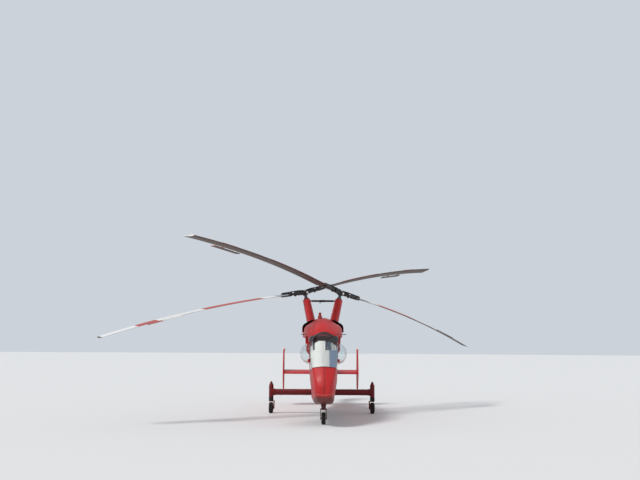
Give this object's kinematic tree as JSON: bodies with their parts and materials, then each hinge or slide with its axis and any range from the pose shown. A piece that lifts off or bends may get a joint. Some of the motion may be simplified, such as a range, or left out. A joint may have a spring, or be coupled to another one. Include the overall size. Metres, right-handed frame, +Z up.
{
  "type": "lifting helicopter with intermeshing rotors",
  "caption": "Narrow single-seat lifting helicopter on wheels, with two canted masts, intermeshing blades, a wide tailplane with end plates and a cargo hook.",
  "frame": {"origin": "centre of the cargo hook's eye, under the rotors on the middle plane", "axes": "+Z up, nose towards -Y, +X to the machine's own left"},
  "size_m": [12.5284, 14.3626, 5.5747],
  "materials": {
    "red_paint": "satin",
    "red_steel": "satin",
    "glass": "gloss",
    "foil": "polished",
    "cabin_trim": "matte",
    "cushion": "matte",
    "black_metal": "satin",
    "mast_steel": "satin",
    "exhaust_steel": "satin",
    "blade_skin": "satin",
    "beacon_lens": "gloss",
    "tyre": "matte",
    "rim": "satin"
  },
  "bodies": {
    "airframe": {"nose_shell": "red_paint", "cockpit_frame": "red_paint", "cockpit_floor": "cabin_trim", "windscreen": "glass", "sun_screen": "foil", "roof_hood": "red_paint", "seat": "cushion", "instrument_panel": "cabin_trim", "flight_controls": "black_metal", "centre_fuselage": "red_paint", "air_intakes": "black_metal", "engine_cowl": "red_paint", "exhaust_pipe": "exhaust_steel", "tail_boom": "red_paint", "fin": "red_paint", "tailplane": "red_paint", "end_plates": "red_paint", "pylon_left": "red_paint", "pylon_right": "red_paint", "pylon_tie_rod": "black_metal", "beacon": "beacon_lens", "pitot_tubes": "black_metal", "cargo_rail": "black_metal", "cargo_hook": "mast_steel", "gear_beam_left": "red_steel", "gear_beam_right": "red_steel", "oleos": "black_metal", "wheel_arms": "red_steel", "nose_leg": "red_steel"},
    "door_left": {"door_left": "red_paint", "door_window_left": "glass"},
    "door_right": {"door_right": "red_paint", "door_window_right": "glass"},
    "rudder": {"rudder": "red_paint"},
    "nose_fork": {"nose_fork": "red_steel"},
    "nose_wheel": {"nose_tyre": "tyre", "nose_rim": "rim"},
    "main_wheel_left": {"main_tyre_left": "tyre", "main_rim_left": "rim"},
    "main_wheel_right": {"main_tyre_right": "tyre", "main_rim_right": "rim"},
    "rotor_left": {"mast_left": "mast_steel", "hub_left": "black_metal", "grips_left": "black_metal", "lag_dampers_left": "black_metal", "blade_left_fore": "blade_skin", "blade_left_aft": "blade_skin", "servo_flaps_left": "blade_skin"},
    "rotor_right": {"mast_right": "mast_steel", "hub_right": "black_metal", "grips_right": "black_metal", "lag_dampers_right": "black_metal", "blade_right_fore": "blade_skin", "blade_right_aft": "blade_skin", "servo_flaps_right": "blade_skin"}
  },
  "joints": [
    {"name": "rotor_left_spin", "type": "hinge", "parent": "airframe", "child": "rotor_left", "pos_m": [0.611, 0, 3.72], "axis": [0.2164, 0, 0.9763], "continuous": true},
    {"name": "rotor_right_spin", "type": "hinge", "parent": "airframe", "child": "rotor_right", "pos_m": [-0.611, 0, 3.72], "axis": [-0.2164, 0, 0.9763], "continuous": true},
    {"name": "door_left_swing", "type": "hinge", "parent": "airframe", "child": "door_left", "pos_m": [0.472, -2.92, 1.3], "axis": [0, 0, -1], "range_deg": [0, 80]},
    {"name": "door_right_swing", "type": "hinge", "parent": "airframe", "child": "door_right", "pos_m": [-0.472, -2.92, 1.3], "axis": [0, 0, 1], "range_deg": [0, 80]},
    {"name": "rudder_turn", "type": "hinge", "parent": "airframe", "child": "rudder", "pos_m": [0, 7.7, 1.38], "axis": [0, 0.225, 0.9744], "range_deg": [-25, 25]},
    {"name": "nose_castor", "type": "hinge", "parent": "airframe", "child": "nose_fork", "pos_m": [0, -3.11, 0.05], "axis": [0, 0, 1], "continuous": true},
    {"name": "nose_wheel_spin", "type": "hinge", "parent": "nose_fork", "child": "nose_wheel", "pos_m": [0, -3.04, -0.24], "axis": [1, 0, 0], "continuous": true},
    {"name": "main_wheel_left_spin", "type": "hinge", "parent": "airframe", "child": "main_wheel_left", "pos_m": [1.78, 1.03, -0.23], "axis": [1, 0, 0], "continuous": true},
    {"name": "main_wheel_right_spin", "type": "hinge", "parent": "airframe", "child": "main_wheel_right", "pos_m": [-1.78, 1.03, -0.23], "axis": [1, 0, 0], "continuous": true}
  ],
  "couplings": [
    {"joint": "rotor_right_spin", "follows": "rotor_left_spin", "ratio": -1}
  ]
}
